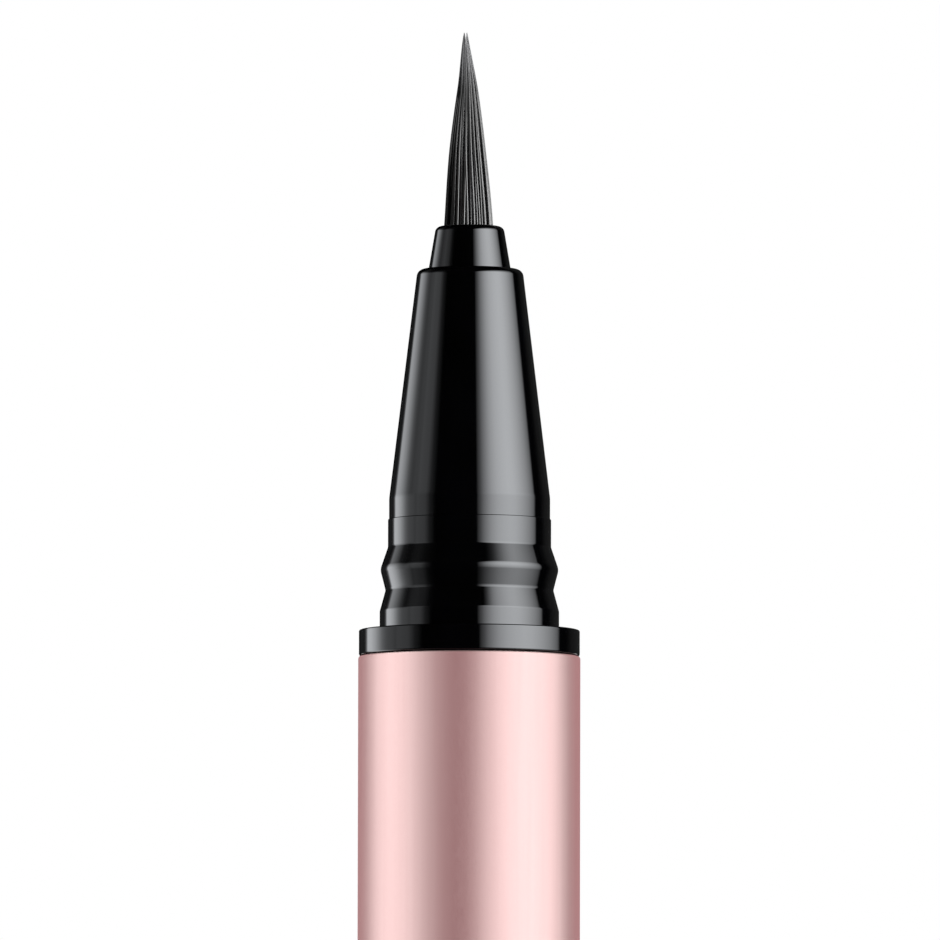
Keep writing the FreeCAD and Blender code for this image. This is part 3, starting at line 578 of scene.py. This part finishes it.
coolWhite = "#f8fbff"
panels = {
    # degrees and shares of the radiance: azimuth to the right of the camera's side, height above the horizon
    "keyOnGloss": {
        "receivers": blackPieces, "radiance": 3.98, "tint": coolWhite,
        "slant": ((35, 0.0), (42, 0.2)),  # the left edge leans outwards
        "across": ((10, 0.0), (16, 0.15), (24, 0.43), (32, 0.68), (41, 0.87), (50, 0.96), (59, 1.0), (68, 0.94),
                   (78, 0.76), (89, 0.52), (98, 0.32), (105, 0.16), (109, 0.0)),
        "up": ((-48, 0.06), (-37, 0.14), (-32, 0.18), (-26, 0.28), (-23, 0.37), (-10, 0.7), (3, 0.87), (12, 1.0),
               (20, 0.98), (26, 0.89), (30, 0.76), (33, 0.64), (36, 0.5), (39, 0.3), (45, 0.09), (48, 0.04))},
    "sideOnGloss": {
        "receivers": blackPieces, "radiance": 0.43, "tint": coolWhite,
        "across": ((-112, 0.0), (-100, 0.08), (-95, 0.2), (-88, 0.65), (-80, 1.0), (-67, 0.85), (-59, 0.23),
                   (-54, 0.1), (-50, 0.0)),
        "up": ((-48, 0.0), (-27, 0.08), (-22, 0.25), (-10, 0.67), (0, 0.83), (10, 0.86), (18, 1.0), (22, 0.53),
               (27, 0.25), (36, 0.05))},
    "edgeOnGloss": {
        "receivers": blackPieces, "radiance": 1.63, "tint": coolWhite,
        "across": ((-162, 0.008), (-142, 0.015), (-137, 0.1), (-132, 0.85), (-124, 1.0), (-116, 0.92), (-110, 0.7),
                   (-104, 0.42), (-98, 0.26), (-92, 0.15), (-84, 0.0)),
        "up": ((-48, 0.7), (-15, 1.0), (3, 1.0), (8, 0.82), (15, 0.57), (20, 0.32), (26, 0.04), (34, 0.02),
               (48, 0.0))},
    "backOnGloss": {
        "receivers": blackPieces, "radiance": 0.018, "across": ((120, 0.0), (135, 1.0), (170, 1.0)),
        "up": ((-48, 1.0), (48, 1.0))},
    "lowBackOnGloss": {
        "receivers": blackPieces, "radiance": 1.8, "across": ((152, 0.0), (164, 1.0), (190, 1.0), (206, 0.0)),
        "up": ((-48, 0.6), (-30, 1.0), (-16, 0.9), (-10, 0.0))},
    "keyOnHair": {
        "receivers": hairPieces, "radiance": 8.0,
        "across": ((36, 0.0), (44, 1.0), (64, 1.0), (72, 0.0)),
        "up": ((-48, 0.1), (-20, 0.4), (-5, 0.8), (5, 1.0), (14, 1.0), (20.5, 0.86), (22, 0.54), (26, 0.26),
               (32, 0.05), (48, 0.0))},
    "rimOnHair": {
        "receivers": hairPieces, "radiance": 4.1,
        "across": ((100, 0.0), (110, 1.0), (140, 1.0), (148, 0.0)),
        "up": ((-48, 0.5), (-5, 1.0), (12, 1.0), (14, 0.8), (17, 0.53), (20, 0.15), (22, 0.0))},
    "frontOnHair": {
        "receivers": hairPieces, "radiance": 1.1,
        "across": ((-50, 0.0), (-30, 1.0), (32, 1.0), (48, 0.0)),
        "up": ((-48, 0.0), (17.5, 0.0), (21.0, 1.0), (48, 1.0))},
    "edgeOnHair": {
        "receivers": hairPieces, "radiance": 0.22,
        "across": ((-112, 0.0), (-96, 1.0), (-70, 1.0), (-54, 0.0)),
        "up": ((-48, 0.5), (-10, 1.0), (30, 1.0), (48, 0.5))},
    "keyOnMetal": {
        "receivers": rosePieces, "radiance": 1.31,
        "across": ((10, 0.5), (30, 0.85), (60, 1.0), (85, 0.92), (114, 0.68)), "up": ((-48, 1.0), (48, 1.0))},
    "sideOnMetal": {
        "receivers": rosePieces, "radiance": 1.19,
        "across": ((-122, 0.55), (-108, 0.96), (-80, 1.0), (-66, 0.9), (-55, 0.65), (-45, 0.42), (-35, 0.22),
                   (-25, 0.1)),
        "up": ((-48, 1.0), (48, 1.0))},
    "fillOnMetal": {
        "receivers": rosePieces, "radiance": 0.17, "tint": "#ffa4b0",
        "across": ((-37, 1.0), (13, 1.0)), "up": ((-48, 1.0), (48, 1.0))},
    "backOnMetal": {
        "receivers": rosePieces, "radiance": 0.42, "tint": "#ffb6be",
        "across": ((130, 1.0), (150, 0.85), (170, 0.7), (230, 0.7)), "up": ((-48, 1.0), (48, 1.0))},
    "lowBackOnMetal": {
        "receivers": rosePieces, "radiance": 1.1,
        "across": ((125, 0.3), (145, 0.7), (165, 1.0), (185, 0.6), (205, 0.7), (220, 1.0), (235, 0.4)),
        "up": ((-48, 1.0), (-18, 1.0), (-8, 0.2), (-4, 0.0))},
}
panelReach, panelHeight, panelMiddle = 0.5, 1.12, 0.1  # metres: from the pen, its height, its middle above the tail
upright = ((0, 0.0), (45, 0.0))                          # a panel without a slant
powerPerArea = 4.0                                       # watts of an area lamp, by square metre and radiance


def panelShare(angle, middle, size):  # where a direction from the pen meets a panel, from 0 to 1
    return 0.5 + panelReach * math.tan(math.radians(angle - middle)) / size


def hangLamp(lamp, place, turned, receivers):
    holder = bpy.data.objects.new(lamp.name, lamp)
    scene.collection.objects.link(holder)
    holder.location = place
    holder.rotation_euler = turned
    holder.visible_camera = False
    holder.light_linking.receiver_collection = receivers


for name, panel in panels.items():
    first, last = panel["across"][0][0], panel["across"][-1][0]
    azimuth = (first + last) / 2
    lamp = bpy.data.lights.new(name, "AREA")
    lamp.shape = "RECTANGLE"
    lamp.size = 2 * panelReach * math.tan(math.radians((last - first) / 2))
    lamp.size_y = panelHeight
    lamp.energy = powerPerArea * lamp.size * lamp.size_y * panel["radiance"]
    lamp.use_nodes = True
    tree = lamp.node_tree
    tree.nodes.clear()
    spot = addNode(tree, "SeparateXYZ", {0: addNode(tree, "NewGeometry").outputs["Parametric"]})
    (lowest, none), (highest, most) = panel.get("slant", upright)
    slant = addNode(tree, "MapRange", {
        "Value": spot.outputs["Y"], "From Min": panelShare(lowest, 0.0, panelHeight), "To Min": none,
        "From Max": panelShare(highest, 0.0, panelHeight), "To Max": most})
    sideways = addNode(tree, "Math", {0: spot.outputs["X"], 1: slant.outputs[0]}, operation="SUBTRACT")
    across = addNode(tree, "ValToRGB", {"Fac": sideways.outputs[0]}, stops=[
        (panelShare(angle, azimuth, lamp.size), value) for angle, value in panel["across"]])
    up = addNode(tree, "ValToRGB", {"Fac": spot.outputs["Y"]}, stops=[
        (panelShare(angle, 0.0, panelHeight), value) for angle, value in panel["up"]])
    share = addNode(tree, "Math", {0: across.outputs[0], 1: up.outputs[0]}, operation="MULTIPLY")
    glow = addNode(tree, "Emission", {"Color": linear(panel.get("tint", "#ffffff")), "Strength": share.outputs[0]})
    addNode(tree, "OutputLight", {"Surface": glow.outputs[0]})
    turn = math.radians(azimuth)
    out = Vector((math.sin(turn), -math.cos(turn), 0.0))
    hangLamp(lamp, out * panelReach + Vector((0.0, 0.0, panelMiddle)), (-out).to_track_quat("-Z", "Y").to_euler(),
             panel["receivers"])

# what a pale table would throw back on the metal, as a disc below the floor that shines up
underLamp = {"size": 1.3, "level": -0.4, "radiance": 0.38}
lamp = bpy.data.lights.new("underOnMetal", "AREA")
lamp.shape = "DISK"
lamp.size = underLamp["size"]
lamp.energy = powerPerArea * math.pi * underLamp["size"] ** 2 / 4 * underLamp["radiance"]
hangLamp(lamp, (0.0, 0.0, underLamp["level"]), (math.pi, 0.0, 0.0), rosePieces)
print("lamps hung,", len(panels) + 1)


def makeRound(name, rows, sides=96):
    points = [(r * math.cos(math.tau * i / sides), r * math.sin(math.tau * i / sides), z)
              for r, z in rows for i in range(sides)]
    faces = [(low + i, low + (i + 1) % sides, low + sides + (i + 1) % sides, low + sides + i)
             for low in range(0, sides * (len(rows) - 1), sides) for i in range(sides)]
    mesh = bpy.data.meshes.new(name)
    mesh.from_pydata(points, [], faces)
    mesh.shade_smooth()
    made = bpy.data.objects.new(name, mesh)
    scene.collection.objects.link(made)
    return made


cardTent = {
    "black": "#020202",
    "rows": ((0.0005, -0.6), (0.8, -0.6), (0.8, 0.2), (0.8, 1.0), (0.4, 1.0), (0.0005, 1.0)),  # radius, level: metres
}
cards = makeRound("blackCards", cardTent["rows"])
material, _, shader, _ = startMaterial("blackFeltCard")
shader.inputs["Base Color"].default_value = linear(cardTent["black"])
shader.inputs["Specular IOR Level"].default_value = 0.0
shader.inputs["Roughness"].default_value = 1.0
cards.data.materials.append(material)
cards.visible_camera = cards.visible_diffuse = cards.visible_shadow = cards.visible_transmission = False

paper = {
    "pale": "#f4f3f1",
    "roughness": 0.9,
    "specular": 0.1,
    "rows": ((0.0005, 0.0), (0.02, 0.0), (0.05, 0.0), (0.09, 0.0), (0.13, 0.0)),  # radius, level: metres
    "fade": (0.03, 0.12),  # metres from the pen, where it starts to run out to white and where it is white
}
floor = makeRound("paleFloor", paper["rows"])
material, tree, shader, place = startMaterial("paleStudioPaper")
shader.inputs["Base Color"].default_value = linear(paper["pale"])
shader.inputs["Roughness"].default_value = paper["roughness"]
shader.inputs["Specular IOR Level"].default_value = paper["specular"]
fromPen = addNode(tree, "VectorMath", {0: place}, operation="LENGTH")
fade = addNode(tree, "MapRange", {"Value": fromPen.outputs["Value"], "From Min": paper["fade"][0],
                                  "From Max": paper["fade"][1]}, interpolation_type="SMOOTHSTEP")
white = addNode(tree, "Emission", {"Color": (1.0, 1.0, 1.0, 1.0), "Strength": 1.0})
both = addNode(tree, "MixShader", {0: fade.outputs[0], 1: shader.outputs[0], 2: white.outputs[0]})
output = next(n for n in tree.nodes if n.type == "OUTPUT_MATERIAL")
tree.links.new(both.outputs[0], output.inputs["Surface"])
floor.data.materials.append(material)
floor.visible_glossy = False  # the gloss sees the black cards below, as in the photo
floor.visible_shadow = False  # lets the lamp below it through

backdrop = {"white": "#ffffff", "onPen": 0.9, "seen": 1.0}  # strength on dull surfaces, and where it is seen itself
world = bpy.data.worlds.new("whiteStudio")
world.use_nodes = True
scene.world = world
tree = world.node_tree
tree.nodes.clear()
path = addNode(tree, "LightPath")
seen = addNode(tree, "Math", {0: path.outputs["Is Camera Ray"], 1: path.outputs["Is Glossy Ray"]}, operation="ADD")
seen = addNode(tree, "Math", {0: seen.outputs[0], 1: path.outputs["Is Transmission Ray"]}, operation="ADD",
               use_clamp=True)
soft = addNode(tree, "Background", {"Color": linear(backdrop["white"]), "Strength": backdrop["onPen"]})
shown = addNode(tree, "Background", {"Color": linear(backdrop["white"]), "Strength": backdrop["seen"]})
both = addNode(tree, "MixShader", {0: seen.outputs[0], 1: soft.outputs[0], 2: shown.outputs[0]})
addNode(tree, "OutputWorld", {"Surface": both.outputs[0]})
print("studio set")
